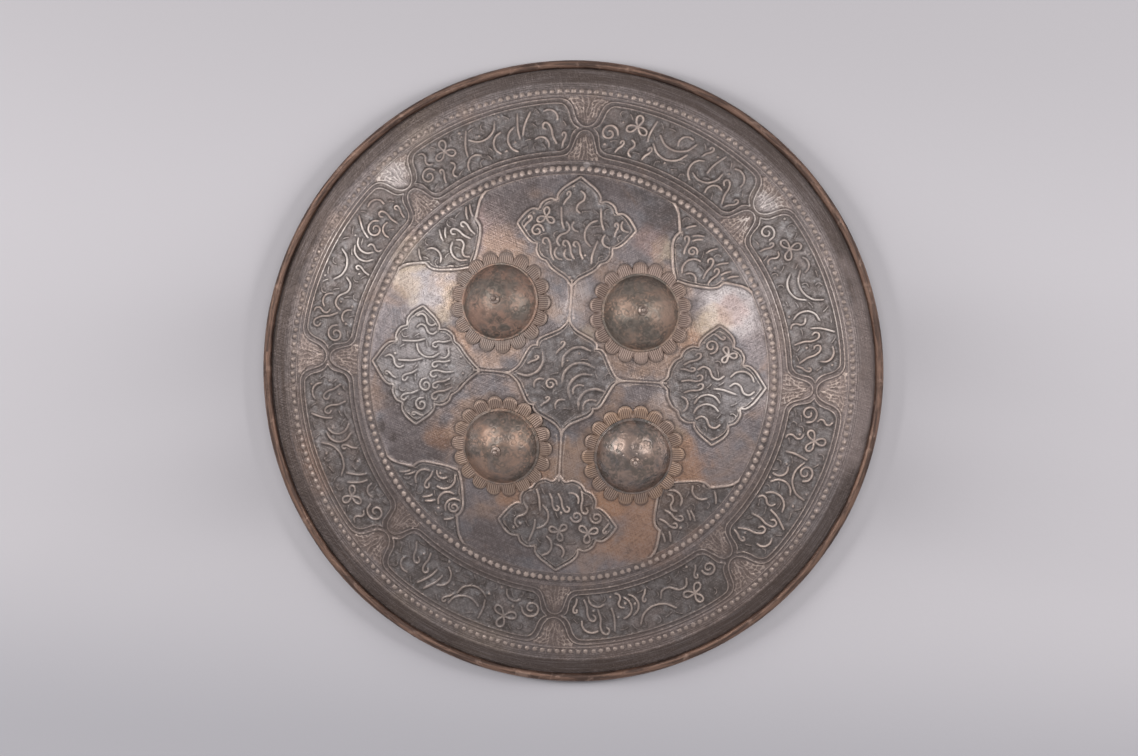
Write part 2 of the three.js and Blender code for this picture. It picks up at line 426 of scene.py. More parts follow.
def field_lines(ornament):
    """The quatrefoils, the diamond in the middle and the double lines that join them."""
    diamond = []
    for k, tip in enumerate(DIAMOND_TIPS):
        bearing = 90 * k
        foot = QUATREFOIL_FEET[bearing]
        place = axis_place(bearing)
        following = DIAMOND_TIPS[(k + 1) % 4]
        near = [(0.4, tip + 2), (0.8, tip - 0.8), (2.8, tip - 3.9)] + DIAMOND_SIDE
        far = [(following + 2, 0.4), (following - 0.8, 0.8), (following - 3.9, 2.8)]
        far += [(b, a) for a, b in DIAMOND_SIDE]
        diamond.append(place(joined([near, far[::-1]])))
        half, outline = quatrefoil(foot)
        ornament.add_pair("wire", place, half)
        ornament.grounds.append(place(outline))
        ornament.add("hair", place((outline - (0, 101)) * 0.925 + (0, 101)))
        sway = rng.uniform(-0.5, 0.5)
        between = (tip + foot) / 2
        for side in (-2.1, 2.1):
            link = [(side * 1.5, tip + 1), (side + sway, between), (side * 1.4, foot + 1)]
            ornament.add("hair", place(spline(link)))
        ornament.add("wire", place(spline([(0, tip - 1), (sway, between), (0, foot + 1)])))
        fill(ornament, place, outline, QUATREFOIL_PASSES, 4)
    loop = np.concatenate(diamond)
    ornament.grounds.append(loop)
    ornament.add("hair", loop * 0.925)
    for part in diamond:
        ornament.add("wire", part)
    fill(ornament, np.asarray, loop, CENTRE_PASSES, 3)


def leaves(ornament):
    """Leaf-shaped cartouches between each boss and the inner row of beads."""
    for bearing in (45, 135, 225, 315):
        place = axis_place(bearing)
        half = joined(LEAF_SIDE)
        ornament.add_pair("leaf", place, half)
        for side in (-1, 1):
            ornament.add("hair", place((half - (0, 120)) * (0.9 * side, 0.86) + (0, 120)))
        rim = [(140.0 * math.sin(a), 140.0 * math.cos(a)) for a in np.radians(np.linspace(-16.9, 16.9, 9))]
        outline = np.concatenate([mirrored(half), rim])
        ornament.grounds.append(place(outline))
        fill(ornament, place, outline, LEAF_PASSES, 2)


def bead_row(radius, count, size):
    angles = np.arange(count) * 2 * math.pi / count + rng.uniform(-0.0022, 0.0022, count)
    reach = radius + rng.uniform(-0.18, 0.18, count)
    sizes = size * rng.uniform(0.9, 1.06, count)
    return np.column_stack([reach * np.sin(angles), reach * np.cos(angles), sizes])


# ---- the relief over the plan
def nearest(points, samples):
    """Distance from each point to the nearest sample, and which one."""
    tree = KDTree(len(samples))
    for i, (x, y) in enumerate(samples):
        tree.insert((x, y, 0), i)
    tree.balance()
    found = [tree.find((x, y, 0)) for x, y in points]
    return np.array([f[2] for f in found]), np.array([f[1] for f in found])


def traced(lines, tapered):
    """Samples along lines, each with its share of the full width."""
    parts = []
    for line in lines:
        base = resample(line, 0.3)
        step = np.arange(len(base))
        share = 1 + 0.09 * np.sin(step * 0.11 + len(base))
        if tapered:
            share *= 0.6 + 0.4 * np.clip(np.minimum(step, step[::-1]) * 0.3 / 4, 0, 1)
        parts.append(np.column_stack([base, share]))
    return np.concatenate(parts)


def inside(points, outline):
    """True for each point that lies within a closed outline."""
    low, high = outline.min(0), outline.max(0)
    near = np.flatnonzero(((points >= low) & (points <= high)).all(1))
    x, y = points[near].T
    hit = np.zeros(len(near), bool)
    for (x0, y0), (x1, y1) in zip(outline, np.roll(outline, -1, axis=0), strict=True):
        if y0 != y1:
            hit ^= ((y0 > y) != (y1 > y)) & (x < (x1 - x0) * (y - y0) / (y1 - y0) + x0)
    result = np.zeros(len(points), bool)
    result[near] = hit
    return result


def swell(share):
    """1 at the middle of a crest, falling in a curve to 0 at its sides."""
    return np.clip(1 - share**2, 0, 1)


def hump(share):
    return np.exp(-(share**2))


class Relief:
    """Height over the bare sheet at plan places, and the masks that the finish follows."""

    def __init__(self, points):
        self.points = points
        self.radius = np.hypot(points[:, 0], points[:, 1])
        self.values = {key: np.zeros(len(points)) for key in ("height", "cut") + RELIEF_MASKS}

    def most(self, **values):
        """Keeps the larger of the old and the new value at each place."""
        for key, value in values.items():
            self.values[key] = np.maximum(self.values[key], value)

    def fill_in(self, key, outlines):
        for outline in outlines:
            self.values[key][inside(self.points, outline)] = 1

    def add_lines(self, kind, lines):
        half, tall, _, _ = LINES[kind]
        samples = traced(lines, kind in ("bold", "stroke", "small", "hair"))
        away, which = nearest(self.points, samples[:, :2])
        width = samples[which, 2]
        raised = swell(away / half / width) ** 0.7
        self.most(height=tall * raised * width, crest=raised * WEAR.get(kind, 1))
        if kind != "hair":
            self.most(groove=hump((away - half * 1.2) / GROOVE_REACH) * (away > half))

    def add_rings(self):
        for ring in RAISED_RINGS:
            raised = swell((self.radius - ring) / 0.55)
            self.most(height=0.42 * raised, crest=0.66 * raised)
        for ring in CUT_RINGS:
            self.most(cut=swell((self.radius - ring) / 0.5))

    def add_beads(self, row):
        away, which = nearest(self.points, row[:, :2])
        share = away / row[which, 2]
        self.most(height=0.55 * np.sqrt(np.clip(1 - share**4, 0, 1)))
        self.most(bead=np.clip(1.6 * (1 - share**3), 0, 1))
        self.most(groove=0.8 * hump((share - 1.15) / 0.18) * (share > 1))

    def add_dots(self, spots):
        away, which = nearest(self.points, spots[:, :2])
        raised = np.sqrt(swell(away / spots[which, 2]))
        self.most(height=0.6 * raised, crest=raised)

    def add_rosette_shadow(self, bearing, reach, petals):
        """The sheet is dented along a rosette's edge, and darkened there with painted shadow of the rosette.
        """
        local = turned(self.points - boss_plan(bearing, reach, [(0, 0)])[0], bearing, 0)
        local[:, 1] /= math.cos(math.asin(reach / DOME_RADIUS))
        edge, _, _ = petal_edge(np.arctan2(local[:, 1], local[:, 0]), petals, np.zeros(petals))
        gap = np.hypot(local[:, 0], local[:, 1]) - edge
        # painted shadow of the rosette's edge, kept in the groove mask
        self.most(groove=1.3 * hump((gap - 0.2) / 1.1) * (gap > -4))

    def finished(self):
        """Sinks the matted grounds, the grooves and the cut rings wherever nothing is raised."""
        v = self.values
        x, y = self.points[:, 0], self.points[:, 1]
        weave = np.sin(x * 2.7 + 2 * np.sin(y * 1.3)) * np.sin(y * 2.9 + 2 * np.sin(x * 1.1))
        sunk = v["ground"] * (-0.22 + 0.1 * weave) - GROOVE_DEPTH * v["groove"] - 0.3 * v["cut"]
        v["height"] = np.where(v["height"] < 0.02, sunk, v["height"])
        v["groove"] = np.maximum(v["groove"], v["cut"])
        return v


def relief(points, ornament, beads):
    result = Relief(points)
    result.fill_in("ground", ornament.grounds)
    result.fill_in("fur", ornament.spandrels)
    for kind, lines in ornament.lines.items():
        result.add_lines(kind, lines)
    result.add_rings()
    for row in beads:
        result.add_beads(row)
    result.add_dots(np.asarray(ornament.dots))
    for _, bearing, reach, petals in BOSSES:
        result.add_rosette_shadow(bearing, reach, petals)
    return result.finished()


# ---- meshes
class Cloud:
    """Plan places for a mesh, and the rows whose neighbours have to stay joined."""

    def __init__(self):
        self.points = []
        self.rows = []
        self.count = 0

    def add(self, points, row=None):
        """row is "open" or "closed" where the points run along a line."""
        if row:
            ids = np.arange(self.count, self.count + len(points))
            pairs = np.column_stack([ids, np.roll(ids, -1)])
            self.rows.append(pairs if row == "closed" else pairs[:-1])
        self.points.append(points)
        self.count += len(points)

    def add_line(self, line, half, spacing, offsets):
        base = resample(line, spacing)
        along = np.gradient(base, axis=0)
        along /= np.maximum(np.hypot(along[:, 0], along[:, 1]), 1e-9)[:, None]
        normal = np.column_stack([-along[:, 1], along[:, 0]])
        for offset in offsets:
            self.add(base + normal * half * offset, "open")
        self.add(np.concatenate([base[:1] - along[:1] * half, base[-1:] + along[-1:] * half]))

    def thinned(self, cell, keep):
        """The first point in each small cell, and the joins whose two ends are both left."""
        points = np.concatenate(self.points)
        keys = np.round(points / cell).astype(np.int64)
        _, first = np.unique(keys[:, 0] * 100003 + keys[:, 1], return_index=True)
        chosen = np.zeros(len(points), bool)
        chosen[first] = True
        chosen &= keep(points)
        number = np.cumsum(chosen) - 1
        pairs = np.concatenate(self.rows)
        pairs = pairs[chosen[pairs].all(1)]
        return points[chosen], number[pairs]


def scatter(spacing, low, high, keep=None):
    """A jittered six-sided grid over a ring of the plan."""
    steps = int(high / spacing) + 1
    i, j = np.meshgrid(np.arange(-2 * steps, 2 * steps + 1), np.arange(-2 * steps, 2 * steps + 1))
    grid = np.column_stack([(i + 0.5 * (j % 2)).ravel() * spacing, j.ravel() * spacing * 0.866])
    radius = np.hypot(grid[:, 0], grid[:, 1])
    grid = grid[(radius > low) & (radius < high)]
    grid = grid + rng.uniform(-0.2, 0.2, grid.shape) * spacing
    return grid if keep is None else grid[keep(grid)]


def around(count, start=0):
    """Angles spaced evenly about an axis."""
    return (np.arange(count) + start) * 2 * math.pi / count


def flat_ring(radius, angle):
    """Plan places at each angle; the radius is one number, or one for each."""
    return np.column_stack([radius * np.cos(angle), radius * np.sin(angle)])


def ring_points(radius, count):
    return flat_ring(radius, around(count))


def ring_at(radius, angle, height):
    """Places at each angle; the radius and the height are one number, or one for each."""
    return np.column_stack([flat_ring(radius, angle), np.broadcast_to(height, len(angle))])


def bead_points(row):
    """A middle and two rings for each bead."""
    parts = [row[:, :2]]
    for share, count in ((0.74, 6), (1.05, 7)):
        for angle in around(count) + share:
            parts.append(row[:, :2] + (row[:, 2:] * share) * (math.cos(angle), math.sin(angle)))
    return np.concatenate(parts)


def face_cloud(ornament, beads):
    def in_ground(points):
        hit = np.zeros(len(points), bool)
        for outline in ornament.grounds + ornament.spandrels:
            hit |= inside(points, outline)
        return hit

    def add_kind(kind):
        half, _, spacing, offsets = LINES[kind]
        for line in ornament.lines[kind]:
            cloud.add_line(line, half, spacing, offsets)

    cloud = Cloud()
    for kind in ("leaf", "wire", "bold", "stroke", "frame", "small"):
        add_kind(kind)
    for row in beads + [np.asarray(ornament.dots)]:
        cloud.add(bead_points(row))
    add_kind("hair")
    for ring in RAISED_RINGS + CUT_RINGS:
        for offset in (-0.6, 0, 0.6):
            cloud.add(ring_points(ring + offset, 240), "closed")
    for radius in (141.6, 146.3, 196.9, 200.7):
        cloud.add(ring_points(radius, 280), "closed")
    for _, bearing, reach, petals in BOSSES:
        angle = np.linspace(0, 2 * math.pi, petals * 8, endpoint=False)
        edge, _, _ = petal_edge(angle, petals, np.zeros(petals))
        for offset in (-1.2, 0.3, 1.5):
            cloud.add(boss_plan(bearing, reach, flat_ring(edge + offset, angle)), "closed")
    for kind in ("wire", "leaf"):
        for line in ornament.lines[kind]:
            cloud.add_line(line, 2.7, 1.6, (-1, 1))
    for spacing, low, high, sunk in FACE_SCATTER:
        keep = None if sunk is None else lambda points: in_ground(points) == sunk
        cloud.add(scatter(spacing, low, high, keep))
    return cloud


def boss_matrix(bearing, reach):
    """From a boss's own frame, which stands on the face square to the dome, to the shield's."""
    return (Matrix.Translation((0, 0, APEX - DOME_RADIUS))
            @ Matrix.Rotation(-math.radians(bearing), 4, "Z")
            @ Matrix.Rotation(-math.asin(reach / DOME_RADIUS), 4, "X")
            @ Matrix.Translation((0, 0, DOME_RADIUS)))


def boss_plan(bearing, reach, points):
    """Plan places of points that lie on a boss's foot plane."""
    matrix = boss_matrix(bearing, reach)
    return np.array([(matrix @ Vector((x, y, 0))).xy for x, y in points])


def hole_points():
    """Plan places of the four rivet holes' edges, one array a hole."""
    return [boss_plan(bearing, reach, ring_points(HOLE_RADIUS, 16)) for _, bearing, reach, _ in BOSSES]


def sheet_face(cloud, cell):
    """Triangles over the plan inside the roll's circle, with the rivet holes left open."""
    holes = hole_points()

    def clear(points):
        free = np.hypot(points[:, 0], points[:, 1]) < ROLL_CENTRE - 1.2
        for hole in holes:
            free &= np.hypot(*(points - hole.mean(0)).T) > HOLE_RADIUS + 0.8
        return free

    fixed = np.concatenate([ring_points(ROLL_CENTRE, ROLL_SEGMENTS)] + holes)
    loose, rows = cloud.thinned(cell, clear)
    points = np.concatenate([fixed, loose])
    verts, _, faces, originals, _, _ = delaunay_2d_cdt(
        [Vector(p) for p in points.tolist()], (rows + len(fixed)).tolist(), [], 0, 1e-6, True)
    place = np.array([(v.x, v.y) for v in verts])
    found = np.empty(len(points), int)
    for new, olds in enumerate(originals):
        for old in olds:
            found[old] = new
    triangles = np.array([f for f in faces])
    middles = place[triangles].mean(1)
    keep = np.ones(len(triangles), bool)
    for hole in holes:
        keep &= np.hypot(*(middles - hole.mean(0)).T) > HOLE_RADIUS * 0.97
    a, b, c = (place[triangles[:, k]] for k in range(3))
    turn = np.cross(b - a, c - a)
    triangles[turn < 0] = triangles[turn < 0][:, ::-1]
    keep &= np.abs(turn) > 1e-9
    count = len(holes[0])
    rims = [found[ROLL_SEGMENTS + k * count:ROLL_SEGMENTS + (k + 1) * count] for k in range(len(holes))]
    return place, triangles[keep], found[:ROLL_SEGMENTS], rims


def bridge(first, second):
    """Quads between two closed rings of vertices that run side by side."""
    sides = zip(first, np.roll(first, -1), second, np.roll(second, -1), strict=True)
    return [(a, b, d, c) for a, b, c, d in sides]


def roll_section():
    """The curled edge's section as (reach, height), from the face round to the underside."""
    inner = np.radians(np.linspace(-90, 190, 10))[1:]
    outer = np.radians(np.linspace(190, -90, 14))[:-1]
    return [(ROLL_CENTRE + size * math.cos(a), ROLL_RADIUS + size * math.sin(a))
            for size, angles in ((ROLL_RADIUS - SHEET, inner), (ROLL_RADIUS, outer)) for a in angles]


def roll_rings():
    """Rings of points over the curled edge, which sways a little as hand work does."""
    angles = around(ROLL_SEGMENTS)
    sway = 0.16 * np.sin(5 * angles + 1) + 0.1 * np.sin(13 * angles) + 0.05 * np.sin(31 * angles + 2)
    rings = []
    for radius, height in roll_section():
        up = max(0.0, min(1.0, (height - SHEET) / ROLL_RADIUS))
        rings.append(ring_at(radius + sway * up, angles, height + 0.35 * up * sway))
    return rings


def make_mesh(name, verts, faces, material, masks=None):
    mesh = bpy.data.meshes.new(name)
    mesh.from_pydata((np.asarray(verts) * MM).tolist(), [], [tuple(int(i) for i in f) for f in faces])
    mesh.materials.append(material)
    for key, values in (masks or {}).items():
        mesh.attributes.new(key, "FLOAT", "POINT").data.foreach_set("value", np.asarray(values, np.float32))
    mesh.shade_smooth()
    mesh.validate()
    piece = bpy.data.objects.new(name, mesh)
    bpy.context.scene.collection.objects.link(piece)
    return piece


def shell_front(ornament):
    """The face's points, triangles, edge and hole rims, and the masks that the finish follows."""
    beads = [bead_row(*INNER_BEADS), bead_row(*OUTER_BEADS)]
    plan, triangles, edge, rims = sheet_face(face_cloud(ornament, beads), 0.42)
    masks = relief(plan, ornament, beads)
    front = lifted(plan, masks["height"] + hammering(plan))
    front[edge, 2] = SHEET
    return front, triangles, edge, rims, masks


def shell_back(ornament):
    """The underside's points, triangles, edge and hole rims, and where the chasing shows through faintly."""
    outlines = [line for kind in ("wire", "leaf", "frame") for line in ornament.lines[kind]]
    cloud = Cloud()
    for line in outlines:
        cloud.add_line(line, 1.6, 4.2, (-1, 0, 1))
    for radius in (144.0, 198.6, 205.0, 210.5):
        cloud.add(ring_points(radius, 260), "closed")
    cloud.add(scatter(6.0, 0, 212))
    plan, triangles, edge, rims = sheet_face(cloud, 0.9)
    away, _ = nearest(plan, np.concatenate([resample(line, 0.6) for line in outlines]))
    ghost = hump(away / 1.5)
    back = lifted(plan, hammering(plan) - SHEET + 0.45 * ghost)
    back[np.hypot(plan[:, 0], plan[:, 1]) > FOOT_INNER - 1, 2] = 0
    return back, triangles, edge, rims, ghost


def shell_piece(material):
    ornament = Ornament()
    band_frames(ornament)
    spandrel_hair(ornament)
    field_lines(ornament)
    leaves(ornament)
    front, triangles, edge, rims, masks = shell_front(ornament)
    back, back_triangles, back_edge, back_rims, ghost = shell_back(ornament)
    roll = roll_rings()

    behind = len(front)
    start = behind + len(back)
    verts = np.concatenate([front, back] + roll)
    ids = [start + k * ROLL_SEGMENTS + np.arange(ROLL_SEGMENTS) for k in range(len(roll))]
    faces = triangles.tolist() + (back_triangles[:, ::-1] + behind).tolist()
    for first, second in zip([edge] + ids, ids + [back_edge + behind], strict=True):
        faces += [q[::-1] for q in bridge(first, second)]
    for hole, back_hole in zip(rims, back_rims, strict=True):
        faces += bridge(hole, back_hole + behind)
    full = {key: np.zeros(len(verts)) for key in SHELL_MASKS}
    for key in RELIEF_MASKS:
        full[key][:behind] = masks[key]
    full["roll"][start:] = 1
    full["behind"][behind:start] = 1
    full["crest"][behind:start] = -ghost
    return make_mesh("shell_chased", verts, faces, material, full)


def grid_faces(rows, columns, closed_rows=True):
    """Quads of a grid that closes on itself around, and along its rows if asked."""
    faces = []
    last = rows if closed_rows else rows - 1
    for i in range(last):
        a, b = i * columns, ((i + 1) % rows) * columns
        faces += [(a + j, a + (j + 1) % columns, b + (j + 1) % columns, b + j) for j in range(columns)]
    return faces


def set_on_face(piece, bearing, reach):
    """Moves a mesh from a boss's own frame to its place on the shield."""
    piece.data.transform(Matrix.Scale(MM, 4) @ boss_matrix(bearing, reach) @ Matrix.Scale(1 / MM, 4))
    return piece


def petal_edge(angle, petals, sizes):
    """The rosette's scalloped edge, and the angle from the petal's middle, also as a share of its half."""
    share = math.pi / petals
    number = np.round(angle / (2 * share)).astype(int)
    centre = ROSETTE_RADIUS / (1 + math.sin(share))
    off = angle - 2 * share * number
    across = centre * np.sin(off)
    edge = centre * np.cos(off) + np.sqrt(np.maximum((centre * math.sin(share)) ** 2 - across**2, 0))
    return edge + sizes[number % petals] * np.cos(off / share * math.pi / 2), off, off / share


def rosette_piece(place, bearing, reach, petals, material):
    """A scalloped washer with hatched petals; its rows run from the petals' inner ends out and back."""
    columns = petals * 40
    angle = around(columns, 0.5)
    sizes = rng.uniform(-0.5, 0.1, petals)
    edge, off, across = petal_edge(angle, petals, sizes)
    top = GAP + ROSETTE_THICKNESS
    rows, shade = [], []
    cup = np.sqrt(swell(across))
    for share in (0, 0.2, 0.4, 0.55, 0.68, 0.8, 0.9, 0.96, 0.99, 1.0):
        radius = PETAL_INNER + (edge - PETAL_INNER) * share
        hatch = 0.5 + 0.5 * np.cos(2 * math.pi * radius * np.sin(off) / HATCH_PITCH)
        fade = np.clip((0.93 - share) / 0.08, 0, 1) * np.clip((0.9 - np.abs(across)) / 0.1, 0, 1)
        seam = hump((1 - np.abs(across)) / 0.1) * np.clip((radius - 26.5) / 3, 0, 1)
        rounding = 1 - max(0.0, (share - 0.8) / 0.2) ** 2.4
        lift = top * (0.35 + 0.65 * rounding) + 0.5 * cup * share * rounding
        lift = lift - 0.3 * hatch * fade - 0.6 * seam * rounding
        rows.append((radius, np.maximum(lift, GAP + 0.3)))
        shade.append(np.clip(hatch * fade + seam, 0, 1))
    rows.append((edge - 0.1, np.full(columns, GAP + 0.05)))
    for radius, height in ((24.0, GAP), (HOLE_RADIUS, GAP), (HOLE_RADIUS, top), (24.0, top)):
        rows.append((np.full(columns, radius), np.full(columns, height)))
    shade += [np.zeros(columns)] * 5
    verts = np.concatenate([ring_at(r, angle, dome_drop(r) + lift) for r, lift in rows])
    faces = [f[::-1] for f in grid_faces(len(rows), columns)]
    piece = make_mesh(f"rosette_{place}_hatched", verts, faces, material, {"groove": np.concatenate(shade)})
    return set_on_face(piece, bearing, reach)


def boss_profile():
    """A boss's section as (radius, height), how much of it is outside, and its ball's radius and centre."""
    rim = BOSS_RADIUS - BOSS_LIP_WIDTH
    ball = (rim**2 + BOSS_RISE**2) / (2 * BOSS_RISE)
    centre = BOSS_SHOULDER + BOSS_RISE - ball
    inner = ball - BOSS_THICKNESS
    lip = [(BOSS_RADIUS, BOSS_FOOT), (BOSS_RADIUS + 0.05, BOSS_FOOT + 0.3),
           (BOSS_RADIUS, BOSS_SHOULDER - 0.15), (BOSS_RADIUS - 0.35, BOSS_SHOULDER + 0.1),
           (BOSS_RADIUS - 0.9, BOSS_SHOULDER + 0.05)]
    over = np.linspace(math.acos(rim / ball), math.acos(HOLE_RADIUS / ball), 34)
    under = np.linspace(math.acos(HOLE_RADIUS / inner), math.asin((BOSS_FOOT - centre) / inner), 9)
    outside = lip + [(ball * math.cos(a), centre + ball * math.sin(a)) for a in over]
    inside_face = [(inner * math.cos(a), centre + inner * math.sin(a)) for a in under]
    return outside + inside_face, len(outside), ball, centre


def dented(outer, ball, middle):
    """How deep small round dents are at each place on a boss's face, and a slow wave over it."""
    spots = rng.normal(size=(DENTS, 3))
    spots[:, 2] = np.abs(spots[:, 2]) + 0.3
    spots = middle + ball * spots / np.linalg.norm(spots, axis=1)[:, None]
    sizes = rng.uniform(1.8, 3.4, DENTS)
    dent = np.zeros(len(outer))
    for spot, size in zip(spots, sizes, strict=True):
        away = np.linalg.norm(outer - spot, axis=1) / size
        dent += -0.09 * hump(away) + 0.05 * hump((away - 1.2) / 0.35)
    x, y = (outer - middle)[:, :2].T
    wave = 0.18 * np.sin(x / 3.1 + spots[0, 0]) * np.sin(y / 3.7 + spots[1, 1])
    return dent, wave


def boss_piece(place, bearing, reach, material):
    """A hollow dome, its face uneven with small round dents."""
    columns = 128
    profile, outside, ball, centre = boss_profile()
    angle = around(columns)
    verts = np.concatenate([ring_at(r, angle, z) for r, z in profile])
    middle = np.array([0, 0, centre])
    outer = verts[:outside * columns]
    dent, wave = dented(outer, ball, middle)
    away = outer - middle
    row = np.arange(outside)
    body = (np.clip((row - 5) / 3, 0, 1) * np.clip((outside - 1 - row) / 2, 0, 1)).repeat(columns)
    outer += away / np.linalg.norm(away, axis=1)[:, None] * ((dent + wave) * body)[:, None]
    shade = np.zeros(len(verts))
    shade[:len(outer)] = np.clip(-dent * 7 * body, 0, 1)
    faces = grid_faces(len(profile), columns)
    piece = make_mesh(f"boss_{place}_domed", verts, faces, material, {"groove": shade})
    return set_on_face(piece, bearing, reach)


def rivet_piece(place, bearing, reach, material):
    """A finial of ring, neck and ball, the shank, and the hammered head behind."""
    columns = 40
    seat = BOSS_SHOULDER + BOSS_RISE + GAP
    neck = seat + 1.1
    ball = neck + 0.7 + SHANK_RADIUS
    back = -SHEET - GAP
    profile = [(0, back - 2.2), (1.6, back - 2.1), (3.2, back - 1.7), (4.6, back - 1.0), (5.4, back - 0.3),
               (5.5, back), (SHANK_RADIUS, back), (SHANK_RADIUS, seat), (3.1, seat), (3.4, seat + 0.3),
               (3.4, seat + 0.75), (3.0, neck), (1.7, neck + 0.05), (1.5, neck + 0.4)]
    profile += [(SHANK_RADIUS * math.cos(a), ball + SHANK_RADIUS * math.sin(a))
                for a in np.radians(np.linspace(-42, 90, 10))]
    angle = around(columns)
    body = profile[1:-1]
    verts = [(0, 0, profile[0][1])]
    for r, z in body:
        verts += ring_at(r * (1 + 0.03 * np.sin(3 * angle + z)), angle, z).tolist()
    verts.append((0, 0, profile[-1][1]))
    faces = [tuple(i + 1 for i in f) for f in grid_faces(len(body), columns, closed_rows=False)]
    top = len(verts) - 1
    last = 1 + (len(body) - 1) * columns
    faces += [(0, 1 + (j + 1) % columns, 1 + j) for j in range(columns)]
    faces += [(last + j, last + (j + 1) % columns, top) for j in range(columns)]
    return set_on_face(make_mesh(f"rivet_{place}_turned", verts, faces, material), bearing, reach)


# ---- materials
class Nodes:
    """A short way to write a material's nodes."""

    def __init__(self, name, metallic=0.85):
        self.material = bpy.data.materials.new(name)
        self.material.use_nodes = True
        self.tree = self.material.node_tree
        self.shader = self.tree.nodes["Principled BSDF"]
        self.shader.inputs["Metallic"].default_value = metallic
        self.coords = self.new("ShaderNodeTexCoord").outputs["Object"]

    def new(self, kind, **settings):
        node = self.tree.nodes.new(kind)
        for key, value in settings.items():
            setattr(node, key, value)
        return node

    def feed(self, socket, value):
        if isinstance(value, bpy.types.NodeSocket):
            self.tree.links.new(value, socket)
        elif value is not None:
            socket.default_value = value

    def attribute(self, name):
        return self.new("ShaderNodeAttribute", attribute_name=name).outputs["Fac"]

    def noise(self, scale, detail=4, roughness=0.55, vector=None, distortion=0.0):
        node = self.new("ShaderNodeTexNoise")
        self.feed(node.inputs["Vector"], vector or self.coords)
        node.inputs["Scale"].default_value = scale
        node.inputs["Detail"].default_value = detail
        node.inputs["Roughness"].default_value = roughness
        node.inputs["Distortion"].default_value = distortion
        return node.outputs["Fac"]

    def cells(self, scale):
        node = self.new("ShaderNodeTexVoronoi", feature="F1")
        self.feed(node.inputs["Vector"], self.coords)
        node.inputs["Scale"].default_value = scale
        return node.outputs["Distance"]

    def stretched(self, scale, turn):
        node = self.new("ShaderNodeMapping", vector_type="TEXTURE")
        self.feed(node.inputs["Vector"], self.coords)
        node.inputs["Scale"].default_value = [1 / part for part in scale]
        node.inputs["Rotation"].default_value = (0, 0, math.radians(turn))
        return node.outputs["Vector"]

    def scaled(self, vector, scale):
        node = self.new("ShaderNodeVectorMath", operation="MULTIPLY")
        self.feed(node.inputs[0], vector)
        node.inputs[1].default_value = scale
        return node.outputs[0]

    def math(self, operation, a, b=None, clamp=False):
        node = self.new("ShaderNodeMath", operation=operation, use_clamp=clamp)
        self.feed(node.inputs[0], a)
        self.feed(node.inputs[1], b)
        return node.outputs[0]

    def times(self, a, b):
        return self.math("MULTIPLY", a, b)

    def plus(self, a, b, clamp=False):
        return self.math("ADD", a, b, clamp)

    def spread(self, value, low, high, to_low=0.0, to_high=1.0):
        node = self.new("ShaderNodeMapRange", interpolation_type="SMOOTHSTEP")
        self.feed(node.inputs["Value"], value)
        for key, number in (("From Min", low), ("From Max", high), ("To Min", to_low), ("To Max", to_high)):
            node.inputs[key].default_value = number
        return node.outputs["Result"]

    def mix(self, factor, a, b):
        """A blend of two colours; a mix node keeps its colours in sockets 6, 7 and 2."""
        node = self.new("ShaderNodeMix", data_type="RGBA", blend_type="MIX")
        self.feed(node.inputs[0], factor)
        for socket, value in ((node.inputs[6], a), (node.inputs[7], b)):
            self.feed(socket, value if isinstance(value, bpy.types.NodeSocket) else (*value, 1))
        return node.outputs[2]

    def spot(self, x, y, radius, soft=0.6):
        """1 near a plan place in mm, easing to 0 at the radius, with a ragged edge."""
        node = self.new("ShaderNodeVectorMath", operation="DISTANCE")
        self.feed(node.inputs[0], self.scaled(self.coords, (1, 1, 0)))
        node.inputs[1].default_value = (x * MM, y * MM, 0)
        ragged = self.spread(self.noise(38, 3), 0.3, 0.7, -0.35 * radius * MM, 0.35 * radius * MM)
        away = self.plus(node.outputs["Value"], ragged)
        return self.spread(away, radius * MM * (1 - soft), radius * MM, 1.0, 0.0)

    def tinted(self, color, tint, strength, spots, soft=0.6):
        """The colour with a tint laid over it at each (x, y, radius) in mm."""
        for x, y, size in spots:
            color = self.mix(self.times(self.spot(x, y, size, soft), strength), color, tint)
        return color

    def polar(self):
        """(angle, reach) coordinates for marks that run around the shield's axis, and the reach alone."""
        split = self.new("ShaderNodeSeparateXYZ")
        self.feed(split.inputs[0], self.coords)
        x, y = split.outputs["X"], split.outputs["Y"]
        reach = self.math("SQRT", self.plus(self.times(x, x), self.times(y, y)))
        joined = self.new("ShaderNodeCombineXYZ")
        self.feed(joined.inputs[0], self.times(self.math("ARCTAN2", y, x), 0.03))
        self.feed(joined.inputs[1], reach)
        return joined.outputs[0], reach

    def bump(self, height, distance, strength):
        node = self.new("ShaderNodeBump")
        node.inputs["Strength"].default_value = strength
        node.inputs["Distance"].default_value = distance
        self.feed(node.inputs["Height"], height)
        return node.outputs["Normal"]

    def finish(self, color, roughness, normal):
        for key, value in (("Base Color", color), ("Roughness", roughness), ("Normal", normal)):
            self.feed(self.shader.inputs[key], value)
        return self.material


SMOKE = (0.162, 0.134, 0.129)
LILAC = (0.252, 0.217, 0.216)
SLATE = (0.192, 0.192, 0.206)
COPPER = (0.385, 0.260, 0.192)
RUST = (0.300, 0.165, 0.100)
TAN = (0.660, 0.525, 0.450)
BEAD = (0.560, 0.445, 0.385)
PALE = (0.620, 0.560, 0.550)
SOOT_AND_SHADE = (0.085, 0.068, 0.062)
GOLD = (0.560, 0.430, 0.300)
PINK = (0.400, 0.270, 0.240)
EMBER = (0.44, 0.25, 0.16)
